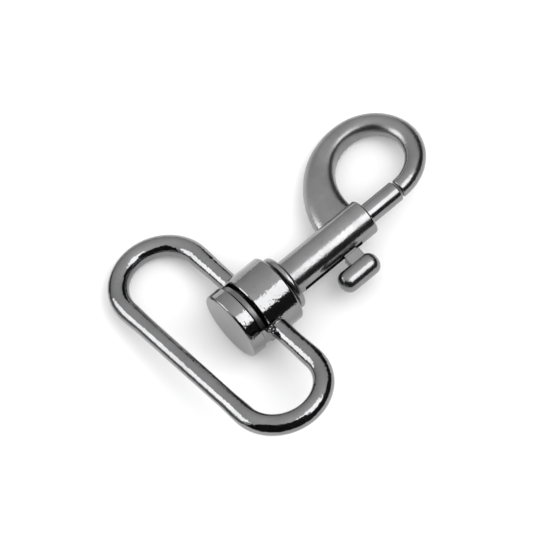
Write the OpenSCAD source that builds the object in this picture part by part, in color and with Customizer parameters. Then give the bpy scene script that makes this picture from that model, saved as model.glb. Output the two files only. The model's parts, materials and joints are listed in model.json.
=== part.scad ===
// Swivel bolt snap hook with an oblong strap loop, lying on a table.
// Each piece is drawn about the swivel axis, which runs along X from the cap's face (x = 0)
// to the hook, with the loop and the hook flat in the XY plane and the hook's eye on the +Y side.
// The whole is then laid down on its eye's side, so that it rests on z = 0.

/* [Strap loop] */
// Clear width of the loop, the width of the webbing it takes
strap_w = 40; // [30:0.5:50]
// Clear height between the loop's two long bars
loop_gap = 11.2; // [9:0.1:16]
// Diameter of the long bars
bar_d = 3.2; // [2.6:0.1:3.4]
// Diameter of the loop's round ends
end_d = 3.45; // [3.2:0.05:4.5]
// Length over which a bar swells to the diameter of the ends
swell_l = 5; // [3:0.5:7]
// From the collar's front face to the centre of the bar that is rooted in it
bar_set = 1.2; // [1:0.05:3]

/* [Hub] */
// Diameter of the cap and the collar
hub_d = 11.9; // [10.8:0.1:14]
// Thickness of the end cap
cap_t = 2.5; // [1.5:0.1:4]
// Width of the window between the cap and the collar
window_w = 1.6; // [1.4:0.1:3]
// Thickness of the two webs that join the cap to the collar
web_t = 0.4; // [0.35:0.05:0.8]
// Length of the collar
collar_l = 6.2; // [5:0.1:9]
// Radius of the hub's rounded edges
hub_round = 0.45; // [0.2:0.05:0.8]

/* [Swivel rivet] */
// Diameter of the rivet's shank in the collar
shank_d = 3.9; // [3.5:0.1:5]
// Thickness of the rivet's head
head_t = 1.05; // [0.9:0.05:1.1]
// Radius of the head's rounded rim
head_round = 0.4; // [0.2:0.05:0.4]
// Length of the rivet's end that is pressed into the barrel
plug_l = 1.6; // [1.2:0.1:2]

/* [Barrel] */
// Diameter of the flange behind the collar
flange_d = 9.6; // [8:0.1:10.6]
// Thickness of the flange
flange_t = 1.3; // [1.3:0.1:2]
// Outer diameter of the barrel
barrel_d = 6.2; // [5.8:0.05:7]
// Radius of the flange's rounded rim
flange_round = 0.6; // [0.3:0.05:0.65]
// Length of the barrel with its flange
barrel_l = 17.8; // [17:0.1:22]
// Diameter of the barrel's bore
bore_d = 3.6; // [3.2:0.1:3.8]
// Length of the stud's slot in front of the stud
slot_spare = 1.4; // [0.5:0.1:2]
// Length of the slot behind the stud when it is drawn back
slot_rear = 1.6; // [0.3:0.1:1.8]
// Radius of the rounded edge at the barrel's mouth
mouth_round = 0.4; // [0.2:0.05:0.6]

/* [Hook] */
// Gap between the barrel's mouth and the tip of the hook
gate_l = 6.8; // [6.8:0.05:9]
// Straight length at the hook's tip
tip_l = 0.2; // [0.1:0.05:1]
// Centreline radius of the front half of the eye
eye_r = 7.3; // [6.8:0.05:8]
// From the middle of the eye back to the middle of the hook's root
back_run = 11.1; // [10:0.1:12]
// Height over which the hook's back curves down towards its root
back_drop = 13.3; // [11:0.1:13.5]
// How full the curve of the hook's back is by the top of the eye
top_full = 0.65; // [0.5:0.01:0.75]
// How full the curve of the hook's back is by its root
root_full = 0.42; // [0.3:0.01:0.6]
// Width of the hook at its tip
tip_w = 3.2; // [2.8:0.1:3.6]
// Width of the hook at the top of the eye
eye_w = 3.6; // [3:0.05:4.4]
// Width of the hook's root on the barrel
root_w = 7.6; // [6:0.1:8]
// How slowly the hook widens from the top of the eye towards its root
root_spread = 1.2; // [1.1:0.1:2]
// Thickness of the hook at its tip
tip_t = 3.2; // [2.8:0.1:3.6]
// Thickness of the hook at its root
root_t = 4.2; // [3.4:0.1:4.8]

/* [Bolt] */
// Distance that the bolt is drawn back to open the hook
travel = 6.4; // [5:0.1:6.4]
// Gap between the bolt's tip and the hook's tip
tip_gap = 0.35; // [0.3:0.05:0.8]
// Length of the bolt
bolt_l = 14.6; // [14:0.1:15]
// Chamfer at the bolt's two ends
bolt_chamfer = 0.2; // [0.1:0.05:0.4]

/* [Thumb stud] */
// Angle of the stud below the plane of the hook
stud_turn = 18; // [0:1:25]
// Distance from the bolt's tail to the middle of the stud's stem
stem_set = 2.15; // [1.7:0.05:2.4]
// Width of the stem along the barrel
stem_w = 2.8; // [2.2:0.1:3.2]
// Thickness of the stem
stem_t = 2.2; // [1.8:0.1:2.6]
// Width of the stem's neck, in the barrel's slot
neck_w = 2.4; // [2:0.1:2.8]
// Thickness of the stem's neck
neck_t = 1.2; // [1:0.1:1.6]
// Gap between the barrel and the shoulder where the neck meets the stem
shoulder_gap = 0.3; // [0.2:0.05:0.6]
// Depth of the flat seat that the stem stands on
seat_depth = 0.3; // [0.2:0.05:0.4]
// Diameter of the tenon in the bolt's cross hole
tenon_d = 1.1; // [0.8:0.1:1.2]
// How far the tenon reaches past the bolt's axis
tenon_past = 0.95; // [0.6:0.05:1]
// Length of the knob
knob_l = 7.4; // [6:0.1:8]
// Diameter of the knob
knob_d = 3.7; // [3.2:0.1:4.4]
// Radius of the knob's rounded ends
knob_round = 1.5; // [1:0.1:1.5]
// From the swivel axis to the middle of the knob
knob_reach = 6.5; // [6.3:0.1:8]
// How far the knob's middle stands behind the stem's
knob_back = 1.1; // [0:0.1:1.6]

/* [Spring] */
// Diameter of the spring wire
wire_d = 0.3; // [0.2:0.05:0.35]
// Outer diameter of the spring
spring_d = 2.7; // [2.2:0.1:2.9]
// Turns of the spring
turns = 5.5; // [4.5:0.5:6]

/* [Fits] */
// Radial clearance of the shank in the collar and of the bolt in the barrel
running = 0.05; // [0.03:0.01:0.1]
// Gap between faces that pass each other
pass_gap = 0.3; // [0.25:0.05:0.5]
// Gap round the rivet's head and beside the stud's neck
side_gap = 0.15; // [0.1:0.05:0.3]
// End gap of the rivet's head and of the spring
end_gap = 0.1; // [0.05:0.05:0.15]

/* [Hidden] */
$fn = 64;
plating = "gray";
past = 1;

// Stations along the swivel axis
collar_x = cap_t + window_w;
collar_end_x = collar_x + collar_l;
flange_x = collar_end_x + pass_gap;
mouth_x = flange_x + barrel_l;
tip_x = mouth_x + gate_l;
eye_x = tip_x + tip_l;
bolt_tip_x = tip_x - tip_gap;
tail_x = bolt_tip_x - bolt_l;
stem_x = tail_x + stem_set;
plug_end_x = flange_x + plug_l;

// Strap loop
hub_r = hub_d / 2;
near_x = collar_x + bar_set;
loop_r = (loop_gap + bar_d) / 2;
loop_x = near_x - loop_r;
end_y = strap_w / 2 - loop_r + end_d / 2;
root_y = (shank_d + hub_d) / 4;

// Rivet, bolt and stud
head_r = hub_r - web_t - side_gap;
bolt_r = bore_d / 2 - running;
seat_y = bolt_r - seat_depth;
slot_t = neck_t + 2 * side_gap;
shoulder_y = barrel_d / 2 + shoulder_gap;
slot_back_x = stem_x - neck_w / 2 - travel - slot_rear;
slot_front_x = stem_x + neck_w / 2 + slot_spare;

// Hook: a half circle from the tip at -90 degrees to the top at 90, then a full curve to the root at 180
eye_steps = 24;
back_steps = 16;
hook_sides = 24;
back_y = 2 * eye_r - back_drop;
coil_steps = 16;
wire_sides = 8;
turns_of_hook = concat([for (i = [0:eye_steps]) -90 + 180 * i / eye_steps],
                       [for (i = [1:back_steps]) 90 + 90 * i / back_steps]);

function ease(t) = t * t * (3 - 2 * t);
function back_share(a) = max(0, (a - 90) / 90);
function curve(full, t) = 3 * full * t * pow(1 - t, 2) + 3 * t * t * (1 - t) + pow(t, 3);
function slope(full, t) = 3 * full * pow(1 - t, 2) + 6 * (1 - full) * t * (1 - t);
function hook_w(a) = tip_w + (eye_w - tip_w) * ease(min(1, (a + 90) / 90))
    + (root_w - eye_w) * pow(back_share(a), root_spread);
function hook_t(a) = tip_t + (root_t - tip_t) * (a + 90) / 270;
function hook_mid(a) = a <= 90
    ? [eye_x + eye_r * cos(a), eye_r + eye_r * sin(a)]
    : let (t = back_share(a))
      [eye_x - back_run * curve(top_full, t), back_y + back_drop * curve(root_full, 1 - t)];
function hook_facing(a) = a <= 90
    ? a
    : let (t = back_share(a))
      atan2(back_run * slope(top_full, t), -back_drop * slope(root_full, 1 - t));
function hook_ring(mid, a) = [for (k = [0:hook_sides - 1])
    let (b = 360 * k / hook_sides, across = hook_w(a) / 2 * cos(b), face = hook_facing(a))
    [mid[0] + across * cos(face), mid[1] + across * sin(face), hook_t(a) / 2 * sin(b)]];

// Rest: the collar's rim, the end of the loop and the side of the eye touch the table. The swivel axis
// dips by lie[0] towards the eye, and the hook leans over by lie[1] to the eye's side.
rest_rounds = 24;
rim_r = hub_r - hub_round;
function toward(lie) = [cos(lie[0]), -sin(lie[0]) * sin(lie[1]), sin(lie[0]) * cos(lie[1])];
function under(lie) = [sin(lie[0]), cos(lie[0]) * sin(lie[1]), -cos(lie[0]) * cos(lie[1])];
function rim_reach(d) = (collar_end_x - hub_round) * d[0] + rim_r * norm([d[1], d[2]]) + hub_round;
function ring_reach(mid, r, w, t, d) = let (flat = norm([d[0], d[1]]))
    mid[0] * d[0] + mid[1] * d[1] + r * flat + norm([w * flat, t * d[2]]) / 2;
function loop_reach(d) = ring_reach([loop_x, end_y], loop_r, end_d, end_d, d);
function eye_reach(a, d) = ring_reach([eye_x, eye_r], eye_r, hook_w(a), hook_t(a), d);
function settled(lie, rounds) = rounds == 0 ? lie : let (d = under(lie), low = rim_reach(d))
    settled([lie[0] + asin((low - eye_reach(90, d)) / (eye_x - collar_end_x)),
             lie[1] + asin((low - loop_reach(d)) / (end_y + loop_r))], rounds - 1);
lie = settled([0, 0], rest_rounds);
lay_z = rim_reach(under(lie));
lay_x = (loop_reach(-toward(lie)) - eye_reach(0, toward(lie))) / 2;

module laid() { translate([lay_x, 0, lay_z]) rotate([-lie[1], lie[0], 0]) children(); }

// Turned down to the stud's side of the barrel: the stud stands towards -Y
module at_stud() { rotate([stud_turn, 0, 0]) children(); }

module along_x(x) { translate([x, 0, 0]) rotate([0, 90, 0]) children(); }

// Turned disc with a rounded rim: its own axis is Z, from z = 0 to z = t
module rimmed(d, t, low_round, high_round) {
    rotate_extrude() intersection() {
        square([d / 2, t]);
        union() {
            translate([0, low_round]) square([d / 2, t - low_round - high_round]);
            square([d / 2 - low_round, t / 2]);
            translate([0, t / 2]) square([d / 2 - high_round, t / 2]);
            translate([d / 2 - low_round, low_round]) circle(low_round);
            translate([d / 2 - high_round, t - high_round]) circle(high_round);
        }
    }
}

// Solid skin over a list of rings that have the same number of points
module skin(rings) {
    n = len(rings[0]);
    last = len(rings) - 1;
    polyhedron(
        points = [for (ring = rings) for (p = ring) p],
        faces = concat(
            [[for (k = [n - 1:-1:0]) k]],
            [for (i = [0:last - 1]) for (k = [0:n - 1])
                let (m = (k + 1) % n)
                each [[i * n + k, i * n + m, (i + 1) * n + m],
                      [i * n + k, (i + 1) * n + m, (i + 1) * n + k]]],
            [[for (k = [0:n - 1]) last * n + k]]));
}

// One half of the loop, on the +Y side, from the hub round to the middle of the far bar
module loop_half() {
    bar_l = end_y - swell_l;
    for (bar = [[near_x, root_y], [loop_x - loop_r, 0]]) {
        translate([bar[0], bar[1], 0]) rotate([-90, 0, 0]) cylinder(d = bar_d, h = bar_l - bar[1]);
        translate([bar[0], bar_l, 0]) rotate([-90, 0, 0]) cylinder(d1 = bar_d, d2 = end_d, h = swell_l);
    }
    translate([loop_x, end_y, 0]) rotate_extrude(angle = 180) translate([loop_r, 0]) circle(d = end_d);
}

// Strap loop and hub, one casting
module strap_loop() {
    color(plating) laid() difference() {
        union() {
            along_x(0) rimmed(hub_d, collar_end_x, hub_round, hub_round);
            loop_half();
            mirror([0, 1, 0]) loop_half();
        }
        translate([cap_t, -hub_r + web_t, -hub_r - past])
            cube([window_w, hub_d - 2 * web_t, hub_d + 2 * past]);
        along_x(cap_t + window_w / 2) cylinder(r = shank_d / 2 + running, h = collar_end_x);
    }
}

// Rivet that the loop turns on: a head peened in the window, and a plug pressed into the barrel
module swivel_rivet() {
    head_x = cap_t + end_gap;
    color(plating) laid() {
        along_x(head_x) rimmed(2 * head_r, head_t, head_round, head_round);
        along_x(head_x + head_t / 2) cylinder(d = shank_d, h = flange_x - head_x - head_t / 2);
        along_x(collar_end_x) cylinder(d = bore_d, h = plug_end_x - collar_end_x);
    }
}

// Hook, barrel and flange, one casting
module hook_body() {
    tip = [tip_x, 0];
    root = [eye_x - back_run, 0];
    rings = concat(
        [hook_ring(tip, -90)],
        [for (a = turns_of_hook) hook_ring(hook_mid(a), a)],
        [hook_ring(root, 180)]);
    color(plating) laid() difference() {
        union() {
            along_x(flange_x) rimmed(flange_d, flange_t, flange_round, flange_round);
            along_x(flange_x + flange_t / 2)
                rimmed(barrel_d, barrel_l - flange_t / 2, mouth_round, mouth_round);
            skin(rings);
        }
        along_x(flange_x - past) cylinder(d = bore_d, h = barrel_l + 2 * past);
        at_stud() translate([slot_back_x, -barrel_d, -slot_t / 2])
            cube([slot_front_x - slot_back_x, barrel_d, slot_t]);
    }
}

// Spring bolt, with a flat seat and a cross hole for the thumb stud
module bolt() {
    end_r = bolt_r - bolt_chamfer;
    color(plating) laid() difference() {
        along_x(tail_x) rotate_extrude() polygon([
            [0, 0], [end_r, 0], [bolt_r, bolt_chamfer],
            [bolt_r, bolt_l - bolt_chamfer], [end_r, bolt_l], [0, bolt_l]]);
        at_stud() {
            translate([stem_x - neck_w / 2, -seat_y - bolt_r, -bolt_r])
                cube([neck_w, bolt_r, 2 * bolt_r]);
            translate([stem_x, tenon_past, 0]) rotate([90, 0, 0]) cylinder(d = tenon_d, h = 2 * bolt_r);
        }
    }
}

// Thumb stud: a round tenon, a flat neck and stem, and an oblong knob to draw the bolt back with
module thumb_stud() {
    color(plating) laid() at_stud() {
        translate([stem_x, tenon_past, 0]) rotate([90, 0, 0]) cylinder(d = tenon_d, h = knob_reach);
        translate([stem_x - neck_w / 2, -knob_reach, -neck_t / 2])
            cube([neck_w, knob_reach - seat_y, neck_t]);
        translate([stem_x - stem_w / 2, -knob_reach, -stem_t / 2])
            cube([stem_w, knob_reach - shoulder_y, stem_t]);
        translate([0, -knob_reach, 0]) along_x(stem_x - knob_back - knob_l / 2)
            rimmed(knob_d, knob_l, knob_round, knob_round);
    }
}

// Compression spring between the rivet's plug and the bolt's tail
module spring() {
    steps = coil_steps * turns;
    coil_r = (spring_d - wire_d) / 2;
    start_x = plug_end_x + end_gap + wire_d / 2;
    coil_l = tail_x - end_gap - wire_d / 2 - start_x;
    rise = atan2(coil_l, 360 * turns * coil_r * PI / 180);
    rings = [for (i = [0:steps])
        let (a = 360 * turns * i / steps)
        [for (k = [0:wire_sides - 1])
            let (b = 360 * k / wire_sides, out = coil_r + wire_d / 2 * cos(b), off = wire_d / 2 * sin(b))
            [start_x + coil_l * i / steps + off * cos(rise),
             out * cos(a) + off * sin(rise) * sin(a),
             out * sin(a) - off * sin(rise) * cos(a)]]];
    color("silver") laid() skin(rings);
}

strap_loop();
swivel_rivet();
hook_body();
bolt();
thumb_stud();
spring();
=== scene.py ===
# Swivel bolt snap hook: a strap loop turns on a rivet at the tail of a cast hook, and a sprung bolt with
# a thumb stud closes the hook's eye. Pieces are made in millimetres along the swivel axis, from the face
# of the drum's cap.
import json
import math

import bmesh
import bpy
from mathutils import Matrix, Vector


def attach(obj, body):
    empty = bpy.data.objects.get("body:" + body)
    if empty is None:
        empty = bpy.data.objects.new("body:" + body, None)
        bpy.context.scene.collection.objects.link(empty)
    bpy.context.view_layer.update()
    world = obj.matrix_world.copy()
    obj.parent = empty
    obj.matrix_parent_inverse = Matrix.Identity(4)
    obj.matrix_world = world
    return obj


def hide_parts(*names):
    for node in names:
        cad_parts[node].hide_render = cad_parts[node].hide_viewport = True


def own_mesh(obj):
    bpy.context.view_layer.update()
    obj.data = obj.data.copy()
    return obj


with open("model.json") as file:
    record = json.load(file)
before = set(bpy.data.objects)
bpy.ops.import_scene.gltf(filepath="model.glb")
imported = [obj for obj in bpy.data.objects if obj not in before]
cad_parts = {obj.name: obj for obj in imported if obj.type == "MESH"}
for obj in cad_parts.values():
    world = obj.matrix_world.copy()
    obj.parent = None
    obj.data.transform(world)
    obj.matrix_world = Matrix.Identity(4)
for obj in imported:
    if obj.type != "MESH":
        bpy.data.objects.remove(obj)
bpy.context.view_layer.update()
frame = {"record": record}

# ---- Strap loop ----
# Zinc die casting, tumbled and plated in black nickel: a drum with a window sawn across it, and an oblong
# loop of round section cast on to the drum's two sides. The loop's ends are a little thicker than its
# bars, and a few beads of flash are left at the root of one bar.
DRUM_R = 5.95
DRUM_END_X = 10.3
DRUM_ROUND = 0.45
DRUM_STEPS = 128
HOLE_R = 2.0
HOLE_X = 3.3
HOLE_ROUND = 0.12
WINDOW_X = (2.5, 4.1)
WINDOW_RIM = 0.14
WEB_Y = 5.55
BAR_X = 5.3
BAR_R = 1.6
END_R = 1.725
END_Y = 14.525
END_STEP = 4
SWELL_L = 5.0
SWELL_STEPS = 8
LOOP_X = -1.9
LOOP_R = 7.2
ROOT_Y = 3.95
ROOT_IN = 0.1
ROOT_FILLET = 0.25
ROOT_STEPS = 8
ROOT_CROWDING = 1.6
FLASH = ((3.75, -6.05, 1.5, 0.34), (4.15, -6.3, 1.15, 0.3), (3.5, -5.95, 1.0, 0.36),
         (4.2, -6.0, 1.75, 0.26), (3.85, -6.35, 0.6, 0.28))
CUT_PAST = 1.0
NICKEL = ((0.2, 0.2, 0.203), (0.245, 0.245, 0.248))

MM_PER_M = 1000
swivel = next(j for j in frame["record"]["behaviour"]["joints"] if j["name"] == "swivel")
eye_mount = next(m for m in frame["record"]["mounts"] if m["name"] == "hook_eye")
AXIS_X = Vector(swivel["axis"]).normalized()
AXIS_Y = Vector(eye_mount["axis"]).cross(AXIS_X).normalized()
AXIS_Z = AXIS_X.cross(AXIS_Y)
LYING = (Matrix.Translation(swivel["pos_m"])
         @ Matrix((AXIS_X, AXIS_Y, AXIS_Z)).transposed().to_4x4() @ Matrix.Scale(1 / MM_PER_M, 4))

SEAM = 1e-5
CORNER_STEPS = 8
EDGE_STEPS = 4
SMOOTH_BELOW = math.radians(38)


def sound(bm):
    """Closes seams and poles and turns all faces outward."""
    bmesh.ops.remove_doubles(bm, verts=bm.verts[:], dist=SEAM)
    bmesh.ops.recalc_face_normals(bm, faces=bm.faces[:])
    return bm


def rounded(bm, geom, affect, offset, segments):
    """Rounds corners of an outline, or edges of a solid."""
    bmesh.ops.bevel(bm, geom=geom, offset=offset, offset_type="OFFSET", segments=segments, profile=0.5,
                    affect=affect, clamp_overlap=True, material=-1)


def turned(corners, closed=False, steps=96):
    """A piece turned on the swivel axis from an outline of (x, radius, rounding) corners."""
    bm = bmesh.new()
    verts = [bm.verts.new((x, 0, r)) for x, r, _ in corners]
    for pair in zip(verts, verts[1:] + verts[:1] if closed else verts[1:]):
        bm.edges.new(pair)
    for vert, (_, _, rounding) in zip(verts, corners):
        if rounding:
            rounded(bm, [vert], "VERTICES", rounding, CORNER_STEPS)
    bmesh.ops.spin(bm, geom=bm.verts[:] + bm.edges[:], cent=(0, 0, 0), axis=(1, 0, 0), dvec=(0, 0, 0),
                   angle=math.tau, steps=steps, use_merge=True)
    return sound(bm)


def rod(x, radius, rounds=(0, 0), steps=96):
    """A rod on the swivel axis between two values of x, with its two ends rounded."""
    return turned([(x[0], 0, 0), (x[0], radius, rounds[0]), (x[1], radius, rounds[1]), (x[1], 0, 0)],
                  steps=steps)


def swept(places, sides=40):
    """A round of radius 1 drawn through places, each a matrix, with both ends closed."""
    bm = bmesh.new()
    bmesh.ops.create_circle(bm, cap_ends=False, segments=sides, radius=1, matrix=places[0])
    ring = bm.edges[:]
    bmesh.ops.edgeloop_fill(bm, edges=ring)
    for last, place in zip(places, places[1:]):
        drawn = bmesh.ops.extrude_edge_only(bm, edges=ring)["geom"]
        ring = [e for e in drawn if isinstance(e, bmesh.types.BMEdge)]
        moved = [v for v in drawn if isinstance(v, bmesh.types.BMVert)]
        bmesh.ops.transform(bm, matrix=place @ last.inverted(), verts=moved)
    bmesh.ops.edgeloop_fill(bm, edges=ring)
    return sound(bm)


def block(x, y, z, rounding=0.0, turn=Matrix()):
    """A block between two values of x, y and z, then turned."""
    bm = bmesh.new()
    spans = [Vector(s) for s in (x, y, z)]
    middle = Matrix.Translation([(s[0] + s[1]) / 2 for s in spans])
    size = Matrix.Diagonal([s[1] - s[0] for s in spans] + [1])
    bmesh.ops.create_cube(bm, size=1, matrix=middle @ size)
    if rounding:
        rounded(bm, bm.edges[:], "EDGES", rounding, EDGE_STEPS)
    bmesh.ops.transform(bm, matrix=turn, verts=bm.verts[:])
    return sound(bm)


def bead(x, y, z, radius):
    """A drop of casting flash."""
    bm = bmesh.new()
    bmesh.ops.create_icosphere(bm, subdivisions=3, radius=radius, matrix=Matrix.Translation((x, y, z)))
    return bm


def shown(bm, name):
    """A mesh object of that name, in the units that the mesh is in."""
    mesh = bpy.data.meshes.new(name)
    bm.to_mesh(mesh)
    bm.free()
    obj = bpy.data.objects.new(name, mesh)
    bpy.context.scene.collection.objects.link(obj)
    return obj


def worked(bm, *steps):
    """Adds solids to a solid, or cuts them out of it, in turn."""
    body = shown(bm, "body")
    tools = []
    for how, solid in steps:
        tools.append(shown(solid, "tool"))
        step = body.modifiers.new(how, "BOOLEAN")
        step.operation, step.object, step.solver = how, tools[-1], "EXACT"
    done = bmesh.new()
    done.from_object(body, bpy.context.evaluated_depsgraph_get())
    for obj in [body] + tools:
        bpy.data.meshes.remove(obj.data)
    return sound(done)


def placed(bm, name, node, body, material):
    """The finished piece in its place: it stands for a CAD node and rides that node's body."""
    bmesh.ops.transform(bm, matrix=LYING, verts=bm.verts[:])
    obj = shown(bm, name)
    obj.data.shade_smooth()
    obj.data.set_sharp_from_angle(angle=SMOOTH_BELOW)
    obj.data.materials.append(material)
    even = obj.modifiers.new("Even faces", "WEIGHTED_NORMAL")
    even.keep_sharp = True
    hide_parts(node)
    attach(obj, body)
    return obj


class Shade:
    """A value in a material's nodes that takes part in sums like a number."""

    def __init__(self, tree, socket=None):
        self.tree, self.socket = tree, socket

    def node(self, kind, settings, values, output=0):
        made = self.tree.nodes.new(kind)
        for name, value in settings.items():
            setattr(made, name, value)
        for name, value in values.items():
            if isinstance(value, Shade):
                self.tree.links.new(value.socket, made.inputs[name])
            else:
                made.inputs[name].default_value = value
        return Shade(self.tree, made.outputs[output])

    def maths(self, how, first, second):
        return self.node("ShaderNodeMath", {"operation": how}, {0: first, 1: second})

    def __add__(self, other):
        return self.maths("ADD", self, other)

    def __sub__(self, other):
        return self.maths("SUBTRACT", self, other)

    def __mul__(self, other):
        return self.maths("MULTIPLY", self, other)

    def __radd__(self, other):
        return self.maths("ADD", other, self)

    def __rsub__(self, other):
        return self.maths("SUBTRACT", other, self)

    def __rmul__(self, other):
        return self.maths("MULTIPLY", other, self)

    def along(self, direction):
        return self.node("ShaderNodeVectorMath", {"operation": "DOT_PRODUCT"}, {0: self, 1: direction},
                         "Value")

    def noise(self, grain_mm, detail):
        return self.node("ShaderNodeTexNoise", {"noise_dimensions": "3D"},
                         {"Vector": self, "Scale": MM_PER_M / grain_mm, "Detail": detail,
                          "Roughness": 0.55})

    def between(self, low, high):
        return self.node("ShaderNodeMapRange", {"clamp": True},
                         {"Value": self, "From Min": low, "From Max": high})

    def colour(self, first, second):
        return self.node("ShaderNodeMix", {"data_type": "RGBA"},
                         {"Factor": self, 6: (*first, 1), 7: (*second, 1)}, 2)


PATCH_MM, PATCH_SPAN, PATCH_TONE = 5.0, (0.35, 0.68), 0.8
SPECK_MM, SPECK_SPAN, SPECK_TONE, SPECK_SMEAR = 0.35, (0.62, 0.74), 0.2, 0.6
LONG_WAVE_MM, LONG_WAVE = 3.0, 0.6
SHORT_WAVE_MM, SHORT_WAVE = 0.55, 0.8
GRAIN_MM = 0.12
GROUND_SPAN, GROUND_OFF = (0.75, 0.97), 0.8


def metal(name, tones, rough, smear, wave_um, grain_um, satin=None):
    """Plated metal: a tone that drifts, a gloss that varies in patches, and the casting's waves, which
    faces ground across the axis mostly lose. Satin is a loss of gloss between two heights over the axis."""
    material = bpy.data.materials.new(name)
    material.use_nodes = True
    tree = material.node_tree
    surface = tree.nodes["Principled BSDF"]
    surface.inputs["Metallic"].default_value = 1.0
    place = Shade(tree).node("ShaderNodeTexCoord", {}, {}, "Object")
    patches = place.noise(PATCH_MM, detail=3.0).between(*PATCH_SPAN)
    specks = place.noise(SPECK_MM, detail=1.0).between(*SPECK_SPAN)
    dark, light = tones
    tone = (patches * PATCH_TONE + specks * SPECK_TONE).colour(light, dark)
    gloss = rough + patches * smear + specks * (SPECK_SMEAR * smear)
    if satin:
        loss, *heights = satin
        axis_at = Vector(swivel["pos_m"]).dot(AXIS_Y)
        span = [axis_at + height / MM_PER_M for height in heights]
        gloss = gloss + place.along(AXIS_Y).between(*span) * loss
    waves = (place.noise(LONG_WAVE_MM, detail=1.0) * (LONG_WAVE * wave_um)
             + place.noise(SHORT_WAVE_MM, detail=1.0) * (SHORT_WAVE * wave_um))
    across = place.node("ShaderNodeTexCoord", {}, {}, "Normal").along(AXIS_X)
    ground = (across * across).between(*GROUND_SPAN)
    height = waves * (1 - ground * GROUND_OFF) + place.noise(GRAIN_MM, detail=1.0) * grain_um
    relief = place.node("ShaderNodeBump", {}, {"Strength": 1.0, "Distance": 1e-6, "Height": height})
    tree.links.new(tone.socket, surface.inputs["Base Color"])
    tree.links.new(gloss.socket, surface.inputs["Roughness"])
    tree.links.new(relief.socket, surface.inputs["Normal"])
    return material


def eased(t):
    """A share from 0 to 1 that sets out and arrives gently."""
    return t * t * (3 - 2 * t)


def bar_r(y):
    """The loop's radius out from the hub: a fillet at the root, then the plain bar, then the swelling."""
    clear = max(0.0, min(ROOT_FILLET, abs(y) - DRUM_R + ROOT_IN))
    fillet = ROOT_FILLET - math.sqrt(ROOT_FILLET ** 2 - (ROOT_FILLET - clear) ** 2)
    swell = eased(max(0.0, min(1.0, (abs(y) - END_Y + SWELL_L) / SWELL_L)))
    return BAR_R + fillet + (END_R - BAR_R) * swell


def loop_place(x, y, turn, radius):
    """The loop's section at x, y, where the loop heads off at that angle from +Y towards -X."""
    return (Matrix.Translation((x, y, 0)) @ Matrix.Rotation(math.radians(turn), 4, "Z")
            @ Matrix.Rotation(math.radians(-90), 4, "X") @ Matrix.Scale(radius, 4))


def loop_end(side):
    """Half a circle round the loop's end: side is 1 for the end at +Y and -1 for the other."""
    return [loop_place(LOOP_X + side * LOOP_R * math.cos(math.radians(a)),
                       side * (END_Y + LOOP_R * math.sin(math.radians(a))),
                       a if side > 0 else 180 + a, END_R)
            for a in range(0, 181, END_STEP)]


root_ys = [DRUM_R - ROOT_IN + ROOT_FILLET * (i / ROOT_STEPS) ** ROOT_CROWDING for i in range(ROOT_STEPS + 1)]
swell_ys = [END_Y - SWELL_L + SWELL_L * i / SWELL_STEPS for i in range(SWELL_STEPS)]
near_ys = [ROOT_Y] + root_ys + swell_ys
near_bar = [loop_place(BAR_X, y, 0, bar_r(y)) for y in near_ys]
far_ys = [END_Y - SWELL_L * i / SWELL_STEPS for i in range(1, SWELL_STEPS + 1)]
far_bar = [loop_place(LOOP_X - LOOP_R, y, 180, bar_r(max(abs(y), END_Y - SWELL_L)))
           for y in far_ys + [0] + [-y for y in reversed(far_ys)]]
near_back = [loop_place(BAR_X, -y, 0, bar_r(y)) for y in reversed(near_ys)]
wire = swept(near_bar + loop_end(1) + far_bar + loop_end(-1) + near_back)
drum = turned([(0, 0, 0), (0, DRUM_R, DRUM_ROUND), (DRUM_END_X, DRUM_R, DRUM_ROUND),
               (DRUM_END_X, HOLE_R, HOLE_ROUND), (HOLE_X, HOLE_R, 0), (HOLE_X, 0, 0)], steps=DRUM_STEPS)
window = block(WINDOW_X, (-WEB_Y, WEB_Y), (-2 * DRUM_R, 2 * DRUM_R))
hole = rod((HOLE_X, DRUM_END_X + CUT_PAST), HOLE_R)
rim_in, rim_out = DRUM_R - WINDOW_RIM, DRUM_R + WINDOW_RIM
rims = turned([(WINDOW_X[0] - 2 * WINDOW_RIM, rim_out, 0), (WINDOW_X[0], rim_in, 0), (WINDOW_X[1], rim_in, 0),
               (WINDOW_X[1] + 2 * WINDOW_RIM, rim_out, 0)], closed=True, steps=DRUM_STEPS)
strap_loop = worked(drum, ("DIFFERENCE", rims), ("UNION", wire), *[("UNION", bead(*drop)) for drop in FLASH],
                    ("DIFFERENCE", window), ("DIFFERENCE", hole))
placed(strap_loop, "strap_loop_casting", "strap_loop", "loop",
       metal("black nickel, strap loop", NICKEL, rough=0.06, smear=0.05, wave_um=42.0, grain_um=0.5))

# ---- Swivel rivet ----
# Turned steel, plated with the rest: a flat head that lies in the drum's window, a shank that the drum
# turns on, and a thinner plug pressed into the barrel. Its tones are darker than the other plating, as
# painted shade and painted dark reflection on the head sunk between the cap and the drum.
HEAD_X = 2.6
HEAD_T = 1.05
HEAD_R = 5.4
HEAD_ROUNDS = (0.2, 0.25)
SHANK_R = 1.95
SHANK_ROUND = 0.15
FLANGE_X = 10.6
BORE_R = 1.8
PLUG_END_X = 12.2
PLUG_ROUND = 0.2
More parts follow.
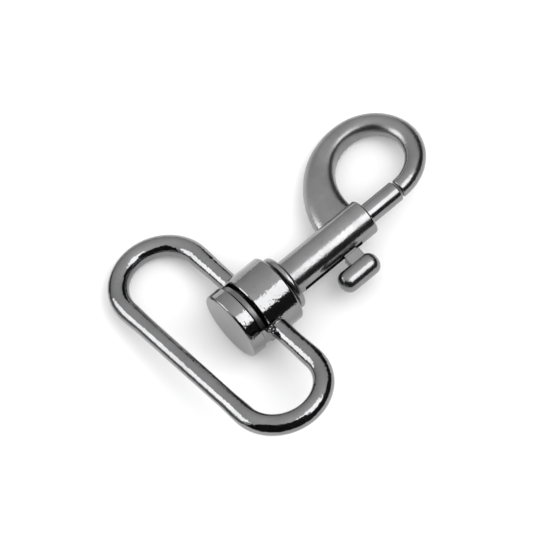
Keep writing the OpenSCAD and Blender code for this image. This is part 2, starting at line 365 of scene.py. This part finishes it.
# Darker than the other black nickel: painted shade on the sunk rivet head.
RIVET_NICKEL_SHADED = ((0.11, 0.11, 0.112), (0.17, 0.17, 0.172))
under_head = HEAD_X + HEAD_T
rivet = turned([(HEAD_X, 0, 0), (HEAD_X, HEAD_R, HEAD_ROUNDS[0]), (under_head, HEAD_R, HEAD_ROUNDS[1]),
                (under_head, SHANK_R, SHANK_ROUND), (FLANGE_X, SHANK_R, 0), (FLANGE_X, BORE_R, 0),
                (PLUG_END_X, BORE_R, PLUG_ROUND), (PLUG_END_X, 0, 0)])
placed(rivet, "swivel_rivet_turned", "swivel_rivet", "hook",
       metal("black nickel with painted shade, rivet", RIVET_NICKEL_SHADED, rough=0.3, smear=0.12, wave_um=25.0, grain_um=0.5))

# ---- Hook body ----
# Zinc die casting, plated: a flange that bears on the drum, a bored barrel with a slot along one side for
# the thumb stud, and the bow, which tapers from a broad root on the barrel round to a blunt tip. The bow
# is left more satin than the barrel.
FLANGE_R = 4.8
FLANGE_T = 1.3
FLANGE_ROUND = 0.6
BARREL_R = 3.1
BARREL_ROOT = 0.2
BARREL_STEPS = 112
MOUTH_X = 28.4
MOUTH_ROUND = 0.4
BORE_ROUNDS = (0.1, 0.15)
SLOT_X = (13.2, 25.0)
SLOT_HALF = 0.75
STUD_DOWN = 18
TIP_X = 35.2
TIP_ROUND = 0.3
TIP_STEPS = 5
EYE_X = 35.4
EYE_R = 7.3
BACK_RUN = 11.1
BACK_DROP = 13.3
TOP_FULL = 0.65
ROOT_FULL = 0.42
TIP_W, EYE_W, ROOT_W = 3.2, 3.6, 7.6
ROOT_SPREAD = 1.2
TIP_T, ROOT_T = 3.2, 4.2
TIP_TURN, SIDE_TURN, TOP_TURN, ROOT_TURN = -90, 0, 90, 180
EYE_STEP, BACK_STEP = 6, 3
BOW_SIDES = 72
EDGED = 0.3
EDGE_TURNS = (45, 95)
HOOK_NICKEL = ((0.19, 0.19, 0.193), (0.26, 0.26, 0.263))
BOW_SATIN = (0.11, 3.0, 6.0)
ON_TIP = 1e-4
STUD_TURN = Matrix.Rotation(math.radians(STUD_DOWN), 4, "X")
UPRIGHT = Matrix.Rotation(math.radians(90), 4, "X")


def bow_curve(full, t):
    """How far the bow has come at t, from 0 to 1, where a larger full makes it set out faster."""
    return 3 * full * t * (1 - t) ** 2 + 3 * t * t * (1 - t) + t ** 3


def bow_slope(full, t):
    """How fast bow_curve goes at t."""
    return 3 * full * (1 - t) ** 2 + 6 * (1 - full) * t * (1 - t)


def bow_place(turn, mid=None):
    """The bow's oval section: half a circle from the tip at -90 degrees to the top at 90, then down to
    the root at 180. Mid sets another middle for the section."""
    t = max(0.0, (turn - TOP_TURN) / (ROOT_TURN - TOP_TURN))
    facing = math.radians(turn)
    x, y = EYE_X + EYE_R * math.cos(facing), EYE_R + EYE_R * math.sin(facing)
    if t:
        x = EYE_X - BACK_RUN * bow_curve(TOP_FULL, t)
        y = 2 * EYE_R - BACK_DROP + BACK_DROP * bow_curve(ROOT_FULL, 1 - t)
        facing = math.atan2(BACK_RUN * bow_slope(TOP_FULL, t), -BACK_DROP * bow_slope(ROOT_FULL, 1 - t))
    if mid:
        x, y = mid
    width = (TIP_W + (EYE_W - TIP_W) * eased(min(1.0, (turn - TIP_TURN) / (SIDE_TURN - TIP_TURN)))
             + (ROOT_W - EYE_W) * t ** ROOT_SPREAD)
    thick = TIP_T + (ROOT_T - TIP_T) * (turn - TIP_TURN) / (ROOT_TURN - TIP_TURN)
    return (Matrix.Translation((x, y, 0)) @ Matrix.Rotation(facing, 4, "Z")
            @ UPRIGHT @ Matrix.Diagonal((width / 2, thick / 2, 1, 1)))


def edged(vert, turn):
    """Squares a round section's inner side a little, more and more on the way to the top."""
    share = eased(max(0.0, min(1.0, (turn - EDGE_TURNS[0]) / (EDGE_TURNS[1] - EDGE_TURNS[0]))))
    power = 1 - share * EDGED if vert.x < 0 else 1
    return Vector([math.copysign(abs(c) ** power, c) for c in vert.xy] + [0])


turns = [*range(TIP_TURN, TOP_TURN + 1, EYE_STEP),
         *range(TOP_TURN + BACK_STEP, ROOT_TURN + 1, BACK_STEP), ROOT_TURN]
places = [bow_place(turn) for turn in turns]
places[0] = bow_place(TIP_TURN, (TIP_X, 0))
places[-1] = bow_place(ROOT_TURN, (EYE_X - BACK_RUN, 0))
bow = swept([Matrix.Translation((0, 0, i)) for i in range(len(places))], BOW_SIDES)
for vert in bow.verts:
    i = round(vert.co.z)
    vert.co = places[i] @ edged(vert.co, turns[i])
sound(bow)
tip_rim = [e for e in bow.edges if all(abs(v.co.x - TIP_X) < ON_TIP for v in e.verts)]
rounded(bow, tip_rim, "EDGES", TIP_ROUND, TIP_STEPS)
flange_end = FLANGE_X + FLANGE_T
barrel = turned([(FLANGE_X, BORE_R, BORE_ROUNDS[0]), (FLANGE_X, FLANGE_R, FLANGE_ROUND),
                 (flange_end, FLANGE_R, FLANGE_ROUND), (flange_end, BARREL_R, BARREL_ROOT),
                 (MOUTH_X, BARREL_R, MOUTH_ROUND), (MOUTH_X, BORE_R, BORE_ROUNDS[1])],
                closed=True, steps=BARREL_STEPS)
bore = rod((FLANGE_X - CUT_PAST, MOUTH_X + CUT_PAST), BORE_R)
slot = block(SLOT_X, (-2 * BARREL_R, 0), (-SLOT_HALF, SLOT_HALF), turn=STUD_TURN)
hook_body = worked(barrel, ("UNION", bow), ("DIFFERENCE", bore), ("DIFFERENCE", slot))
placed(hook_body, "hook_casting", "hook_body", "hook",
       metal("black nickel, hook", HOOK_NICKEL, rough=0.17, smear=0.08, wave_um=28.0, grain_um=0.5,
             satin=BOW_SATIN))

# ---- Spring ----
# Coiled steel wire in the barrel, between the rivet's plug and the bolt's tail. It shortens as the bolt is
# drawn back.
WIRE_R = 0.15
WIRE_SIDES = 12
COIL_R = 1.2
TURNS = 5.5
TURN_STEPS = 28
TAIL_X = 20.25
END_GAP = 0.1
STEEL = ((0.34, 0.335, 0.33), (0.42, 0.415, 0.41))
first_x = PLUG_END_X + END_GAP + WIRE_R
coil_l = TAIL_X - END_GAP - WIRE_R - first_x
coil = bmesh.new()
bmesh.ops.create_circle(coil, cap_ends=True, segments=WIRE_SIDES, radius=WIRE_R,
                        matrix=Matrix.Translation((first_x, 0, COIL_R)) @ UPRIGHT)
coil_steps = int(TURN_STEPS * TURNS)
bmesh.ops.spin(coil, geom=coil.verts[:] + coil.edges[:] + coil.faces[:], cent=(0, 0, 0), axis=(1, 0, 0),
               dvec=(coil_l / coil_steps, 0, 0), angle=math.tau * TURNS, steps=coil_steps)
spring = placed(sound(coil), "spring_coil", "spring", "hook",
                metal("spring steel", STEEL, rough=0.22, smear=0.1, wave_um=1.0, grain_um=0.3))
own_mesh(spring)

# ---- Bolt ----
# Round rod, plated, that slides in the barrel's bore and shuts the eye. A flat and a cross hole near its
# tail take the thumb stud.
BOLT_R = 1.75
BOLT_TIP_X = 34.85
BOLT_ROUNDS = (0.2, 0.25)
ROD_STEPS = 72
STUD_X = 22.4
NECK_HALF_W = 1.2
SEAT_Y = 1.45
TENON_R = 0.55
TENON_PAST = 0.95
TENON_SIDES = 32


def stud_block(half_w, y, half_t, rounding=0.0):
    """A block on the stud's own line, across the bolt."""
    return block((STUD_X - half_w, STUD_X + half_w), y, (-half_t, half_t), rounding, STUD_TURN)


def tenon():
    """The stud's round pin, which also cuts its hole across the bolt."""
    ends = [STUD_TURN @ Matrix.Translation((STUD_X, y, 0)) @ UPRIGHT
            @ Matrix.Diagonal((TENON_R, TENON_R, 1, 1)) for y in (TENON_PAST, -2 * BOLT_R)]
    return swept(ends, TENON_SIDES)


seat = stud_block(NECK_HALF_W, (-SEAT_Y - BOLT_R, -SEAT_Y), BOLT_R)
bolt = worked(rod((TAIL_X, BOLT_TIP_X), BOLT_R, BOLT_ROUNDS, ROD_STEPS),
              ("DIFFERENCE", seat), ("DIFFERENCE", tenon()))
placed(bolt, "bolt_rod", "bolt", "bolt",
       metal("black nickel, bolt", NICKEL, rough=0.16, smear=0.06, wave_um=20.0, grain_um=0.5))

# ---- Thumb stud ----
# Small plated casting: a pin riveted into the bolt, a flat neck that runs in the slot, a stem, and an
# oblong knob with full round ends for the thumb.
NECK_HALF_T = 0.6
NECK_ROUND = 0.08
STEM_HALF_W = 1.4
STEM_HALF_T = 1.1
STEM_ROUND = 0.14
SHOULDER_Y = -3.4
KNOB_Y = -6.5
KNOB_R = 1.85
KNOB_X = (17.6, 25.0)
KNOB_ROUNDS = (1.5, 1.5)
neck = stud_block(NECK_HALF_W, (KNOB_Y, -SEAT_Y), NECK_HALF_T, NECK_ROUND)
stem = stud_block(STEM_HALF_W, (KNOB_Y, SHOULDER_Y), STEM_HALF_T, STEM_ROUND)
knob = rod(KNOB_X, KNOB_R, KNOB_ROUNDS, ROD_STEPS)
bmesh.ops.transform(knob, matrix=STUD_TURN @ Matrix.Translation((0, KNOB_Y, 0)), verts=knob.verts[:])
stud = worked(knob, ("UNION", stem), ("UNION", neck), ("UNION", tenon()))
placed(stud, "thumb_stud_casting", "thumb_stud", "bolt",
       metal("black nickel, stud", NICKEL, rough=0.17, smear=0.06, wave_um=26.0, grain_um=0.5))

# ---- Floor, light and camera ----
# White paper under the hook, a softbox over the front with a soft glow round it, and one low at the back.
# Black cloths round the front, and black sheets that lie on the paper a little way out from the hook, show
# only as dark lines in the round metal.
FLOOR_HALF = 2.0
PAPER = ((0.94, 0.94, 0.94), (0.96, 0.96, 0.96))
FIBRE_MM = 3.0
paper = bmesh.new()
bmesh.ops.create_grid(paper, x_segments=1, y_segments=1, size=FLOOR_HALF)
floor = shown(paper, "floor")
white = bpy.data.materials.new("white paper")
white.use_nodes = True
sheet = white.node_tree.nodes["Principled BSDF"]
sheet.inputs["Roughness"].default_value = 0.9
sheet.inputs["Specular IOR Level"].default_value = 0.1
fibres = Shade(white.node_tree).node("ShaderNodeTexCoord", {}, {}, "Object").noise(FIBRE_MM, detail=2.0)
white.node_tree.links.new(fibres.colour(*PAPER).socket, sheet.inputs["Base Color"])
floor.data.materials.append(white)

LAMP_FAR = 0.8
OVER = (35, 58)
LOW = (-130, 19)


def toward(azimuth, elevation, distance):
    """A point seen from the hook: azimuth 0 is -Y and 90 is +X."""
    a, e = math.radians(azimuth), math.radians(elevation)
    return distance * Vector((math.sin(a) * math.cos(e), -math.cos(a) * math.cos(e), math.sin(e)))


def softbox(name, seen_at, size, radiance):
    """A lamp with an even front that faces the hook, seen at an azimuth and an elevation."""
    data = bpy.data.lights.new(name, "AREA")
    data.shape, data.size, data.size_y = "RECTANGLE", size[0], size[1]
    data.energy = radiance * math.pi * size[0] * size[1]
    lamp = bpy.data.objects.new(name, data)
    bpy.context.scene.collection.objects.link(lamp)
    lamp.location = toward(*seen_at, LAMP_FAR)
    lamp.rotation_euler = lamp.location.to_track_quat("Z", "Y").to_euler()
    lamp.visible_camera = False
    return lamp


over = softbox("softbox over the front", OVER, size=(0.6, 0.48), radiance=2.7)
low = softbox("softbox low at the back", LOW, size=(0.55, 0.44), radiance=3.0)

CLOTH_FAR = 0.5
CLOTH_LIFT = 0.0004
RISE_STEPS, SIDE_STEPS, TABLE_STEPS = 10, 20, 60
black = bpy.data.materials.new("black cloth")
black.use_nodes = True
black.node_tree.nodes["Principled BSDF"].inputs["Base Color"].default_value = (0.004, 0.004, 0.004, 1)


def hung(bm, name, azimuths, steps):
    """A black cloth drawn round the hook between two azimuths, which shows only in the metal."""
    bmesh.ops.spin(bm, geom=bm.verts[:] + bm.edges[:], cent=(0, 0, 0), axis=(0, 0, 1), dvec=(0, 0, 0),
                   angle=math.radians(azimuths[1] - azimuths[0]), steps=steps)
    cloth = shown(bm, name)
    cloth.data.materials.append(black)
    cloth.visible_camera = cloth.visible_diffuse = cloth.visible_shadow = False


def dark_side(name, azimuths, top):
    """A dark side of the room, from the floor up to an elevation."""
    bm = bmesh.new()
    foot = bm.verts.new(toward(azimuths[0], 0, CLOTH_FAR))
    bmesh.ops.spin(bm, geom=[foot], cent=(0, 0, 0), axis=Vector((0, 0, -1)).cross(foot.co).normalized(),
                   dvec=(0, 0, 0), angle=math.radians(top), steps=RISE_STEPS)
    hung(bm, name, azimuths, SIDE_STEPS)


def floor_black_sheet(name, azimuths, near):
    """A black sheet lying on the paper from a given distance out, which shows only in the metal."""
    bm = bmesh.new()
    lift = Vector((0, 0, CLOTH_LIFT))
    bm.edges.new([bm.verts.new(toward(azimuths[0], 0, r) + lift) for r in (near, CLOTH_FAR)])
    hung(bm, name, azimuths, TABLE_STEPS)


dark_side("dark room in front", azimuths=(15, 85), top=38)
dark_side("camera and stand", azimuths=(-98, 15), top=60)
dark_side("dark room at the side", azimuths=(85, 130), top=27)
floor_black_sheet("black sheet on the paper", azimuths=(-80, 128), near=0.062)
floor_black_sheet("black sheet on the paper at the back", azimuths=(-165, -80), near=0.037)

ROOM_TONES = ((0.6, 0.6, 0.6), (1.42, 1.42, 1.42))
RISE_SHARE, GLOW_SHARE = 0.65, 0.35
GLOW_SPAN = (0.6, 0.95)
world = bpy.data.worlds.new("studio")
bpy.context.scene.world = world
world.use_nodes = True
way = Shade(world.node_tree).node("ShaderNodeTexCoord", {}, {}, "Generated")
rise = way.node("ShaderNodeSeparateXYZ", {}, {"Vector": way}, "Z").between(0.0, 1.0)
glow = way.along(toward(*OVER, 1)).between(*GLOW_SPAN)
room = (rise * RISE_SHARE + glow * GLOW_SHARE).colour(*ROOM_TONES)
world.node_tree.links.new(room.socket, world.node_tree.nodes["Background"].inputs["Color"])
bpy.context.scene.view_settings.view_transform = "Standard"

CAMERA_RIGHT = Vector((0.7513, -0.6263, -0.2081))
CAMERA_UP = Vector((0.618, 0.5569, 0.555))
LOOK_AT = Vector((10.315, 1.094, 3.708))
FIELD = 0.08479
DISTANCE = 4.0
lens = bpy.data.cameras.new("camera")
lens.sensor_width = 36.0
lens.lens = lens.sensor_width * DISTANCE / FIELD
lens.clip_start, lens.clip_end = 0.1, 10.0
camera = bpy.data.objects.new("camera", lens)
bpy.context.scene.collection.objects.link(camera)
lying_turn = LYING.to_3x3().normalized()
right = (lying_turn @ CAMERA_RIGHT).normalized()
back = right.cross(lying_turn @ CAMERA_UP).normalized()
camera.matrix_world = (Matrix.Translation(LYING @ LOOK_AT + DISTANCE * back)
                       @ Matrix((right, back.cross(right), back)).transposed().to_4x4())
bpy.context.scene.camera = camera
